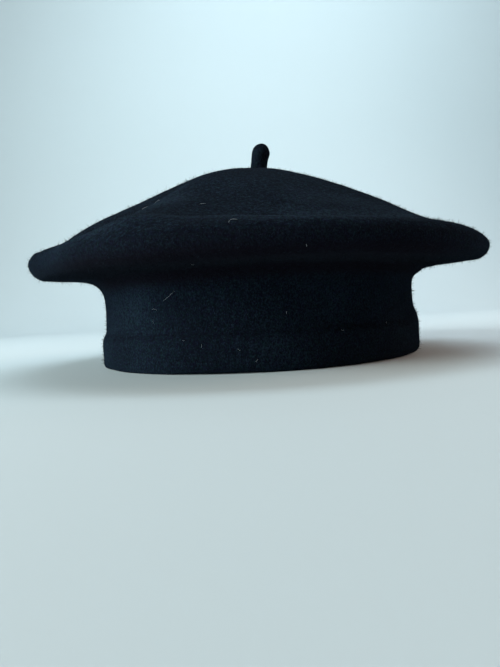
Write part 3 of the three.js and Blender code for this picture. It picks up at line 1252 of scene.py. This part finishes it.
@dataclass
class Sweep:
    """The studio sweep: a pale floor that turns up into the backdrop in one smooth curve."""

    width: float = 6.0
    front: float = -3.0
    fold: float = 1.35
    top: float = 2.2
    turn: float = 0.6
    turn_steps: int = 32

    def build(self, finish: MattCard) -> bpy.types.Object:
        """Extrudes the backdrop from the floor and rounds the fold between them.

        Args:
            finish: the card's finish.

        Returns:
            The sweep.
        """
        bpy.ops.object.select_all(action="DESELECT")
        bpy.ops.mesh.primitive_plane_add(size=1, location=(0, (self.front + self.fold) / 2, 0))
        sweep = bpy.context.object
        sweep.name = "studio_sweep"
        sweep.scale = (self.width, self.fold - self.front, 1)
        bpy.ops.object.transform_apply(location=True, rotation=True, scale=True)
        self.pick_edges(sweep, lambda place: place.y > self.fold - MM)
        bpy.ops.mesh.extrude_region_move(TRANSFORM_OT_translate={"value": (0, 0, self.top)})
        self.pick_edges(sweep, lambda place: place.y > self.fold - MM and place.z < MM)
        bpy.ops.mesh.bevel(offset=self.turn, segments=self.turn_steps, affect="EDGES")
        bpy.ops.object.mode_set(mode="OBJECT")
        bpy.ops.object.shade_smooth()
        sweep.data.materials.append(finish.material())
        return sweep

    def pick_edges(self, sweep: bpy.types.Object, wanted: Callable[[Vector], bool]) -> None:
        """Enters edit mode with only some edges selected.

        Args:
            sweep: the sweep.
            wanted: tells of a place whether an edge may end there.
        """
        bpy.ops.object.mode_set(mode="EDIT")
        bpy.ops.mesh.select_mode(type="EDGE")
        bpy.ops.mesh.select_all(action="DESELECT")
        bpy.ops.object.mode_set(mode="OBJECT")
        for edge in sweep.data.edges:
            edge.select = all(wanted(sweep.data.vertices[index].co) for index in edge.vertices)
        bpy.ops.object.mode_set(mode="EDIT")


@dataclass(frozen=True)
class Softbox:
    """A soft square studio light and the point that it is aimed at."""

    name: str
    place: Point
    size: float
    power: float
    colour: str
    aim: Point = (0.0, 0.0, 0.06)

    def build(self) -> bpy.types.Object:
        """Adds the light.

        Returns:
            The light.
        """
        bpy.ops.object.select_all(action="DESELECT")
        bpy.ops.object.light_add(type="AREA", location=self.place)
        lamp = bpy.context.object
        lamp.name = self.name
        lamp.data.shape = "SQUARE"
        lamp.data.size = self.size
        lamp.data.energy = self.power
        lamp.data.color = linear(self.colour)[:3]
        way = Vector(self.aim) - Vector(self.place)
        lamp.rotation_euler = way.to_track_quat("-Z", "Y").to_euler()
        return lamp


@dataclass(frozen=True)
class Studio:
    """Lights of the room: a broad key from the left, weak fills and a wash on the backdrop."""

    boxes: tuple[Softbox, ...] = (
        Softbox("key_left", (-1.15, -0.46, 0.47), 0.8, 26, "#f2fcf8"),
        Softbox("top_back", (0.3, 0.5, 1.15), 1.0, 1.8, "#eff4ff"),
        Softbox("fill_right", (1.0, -0.2, 0.95), 0.8, 4.2, "#ffe8da"),
        Softbox("edge_right", (1.0, 0.3, 0.4), 0.8, 3.0, "#ffd9c4"),
        Softbox("low_left", (-1.2, -0.15, 0.1), 0.3, 2.8, "#eaf4ff"),
        Softbox("back_wash", (0.15, 0.35, 1.3), 1.0, 17, "#e6f8ff", (0.1, 1.35, 0.35)),
    )
    air: str = "#ffe0d0"
    air_strength: float = 0.08
    surround: str = ROOM_TONE        # what the camera sees past the sweep

    def build(self) -> None:
        """Adds the lights and the room's faint even light."""
        for box in self.boxes:
            box.build()
        world = bpy.data.worlds.new("room_air")
        world.use_nodes = True
        world.node_tree.nodes.clear()
        tree = world.node_tree
        glow = add_node(tree, "Background", inputs={
            "Color": linear(self.air), "Strength": self.air_strength})
        seen = add_node(tree, "Background", inputs={
            "Color": linear(self.surround), "Strength": 1})
        ray = add_node(tree, "LightPath").outputs["Is Camera Ray"]
        both = add_node(tree, "MixShader", inputs={0: ray, 1: glow.outputs[0], 2: seen.outputs[0]})
        add_node(tree, "OutputWorld", inputs={"Surface": both.outputs[0]})
        bpy.context.scene.world = world
        bpy.context.scene.view_settings.view_transform = "Standard"


@dataclass(frozen=True)
class PhotoCamera:
    """The camera: close and low, a little tilted and rolled. Angles are in degrees."""

    distance: float = 330 * MM
    height: float = 28.95 * MM
    turned_left: float = 1.2512
    tipped_down: float = 2.66
    rolled: float = 3.2079
    focal_pixels: float = 515.8
    sensor: float = 36.0            # millimetres
    nearest: float = 10 * MM

    def build(self) -> bpy.types.Object:
        """Adds the camera and makes it the scene's.

        Returns:
            The camera.
        """
        bpy.ops.object.select_all(action="DESELECT")
        bpy.ops.object.camera_add(location=(0, -self.distance, self.height))
        camera = bpy.context.object
        camera.name = "photo_camera"
        turn = (
            Matrix.Rotation(math.radians(self.turned_left), 4, "Z")
            @ Matrix.Rotation(math.radians(90 - self.tipped_down), 4, "X")
            @ Matrix.Rotation(math.radians(-self.rolled), 4, "Z"))
        camera.rotation_euler = turn.to_euler()
        camera.data.sensor_width = self.sensor
        camera.data.lens = self.focal_pixels * self.sensor / max(FRAME_WIDTH, FRAME_HEIGHT)
        camera.data.clip_start = self.nearest
        bpy.context.scene.camera = camera
        return camera


def report(*pieces: bpy.types.Object) -> None:
    """Logs each piece with its triangles.

    Args:
        pieces: the finished pieces.
    """
    for piece in pieces:
        piece.data.calc_loop_triangles()
        log.info("%s: %d triangles", piece.name, len(piece.data.loop_triangles))


def search_tree(piece: bpy.types.Object) -> BVHTree:
    """Makes a search tree of a piece's faces.

    Args:
        piece: the piece to search.

    Returns:
        The tree.
    """
    mesh = piece.data
    return BVHTree.FromPolygons(
        [vertex.co for vertex in mesh.vertices], [face.vertices for face in mesh.polygons])


def main() -> None:
    """Builds the camera, the hat, the stage and the lights, and notes the sizes."""
    PhotoCamera().build()
    body = FeltBody()
    report(body.build())
    body.dress(BODY_FELT)
    felt = search_tree(body.piece)
    stalk = Stalk()
    report(stalk.build(felt))
    stalk.dress(STALK_FELT)
    nap = FeltNap()
    report(*nap.build(body, stalk))
    nap.dress(NAP_WOOL)
    lint = Lint()
    report(lint.build(felt))
    lint.dress(LINT_WOOL)
    Sweep().build(SWEEP_CARD)
    Studio().build()


if __name__ == "__main__":
    main()
